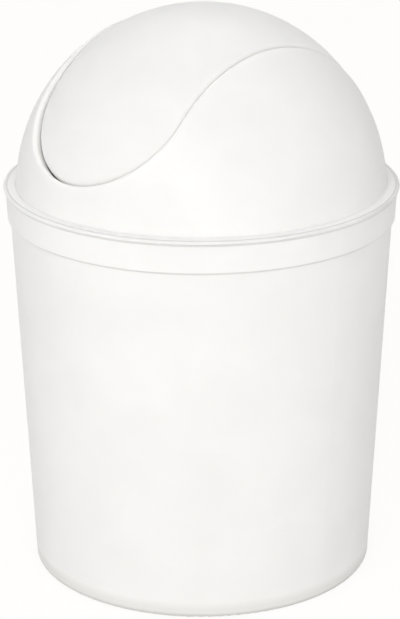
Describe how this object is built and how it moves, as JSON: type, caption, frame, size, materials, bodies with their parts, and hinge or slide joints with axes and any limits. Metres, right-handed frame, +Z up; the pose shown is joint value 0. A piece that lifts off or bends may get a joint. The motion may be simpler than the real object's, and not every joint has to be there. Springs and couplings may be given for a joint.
{
  "type": "countertop trash can with swing lid",
  "caption": "Round tapered countertop trash can with a domed lift-off lid, in whose saddle-shaped opening a see-saw flap swings inward at either end and hangs closed again.",
  "frame": {"origin": "on the surface it stands on, under the middle of the can", "axes": "+Z up; the flap turns about an axis along X, its front end faces -Y and its back end +Y"},
  "size_m": [0.156, 0.156, 0.2279],
  "materials": {
    "can_plastic": "glossy white moulded plastic",
    "lid_plastic": "glossy white moulded plastic",
    "flap_plastic": "glossy white moulded plastic"
  },
  "bodies": {
    "can": {"can_body": "can_plastic"},
    "lid": {"lid_housing": "lid_plastic"},
    "flap": {"swing_flap": "flap_plastic"}
  },
  "joints": [
    {"name": "lid_lift", "type": "slide", "parent": "can", "child": "lid", "axis": [0, 0, 1], "range_m": [0, 0.15]},
    {"name": "flap_swing", "type": "hinge", "parent": "lid", "child": "flap", "pos_m": [0, 0, 0.2124], "axis": [1, 0, 0], "range_deg": [-61.3, 58.7]}
  ]
}
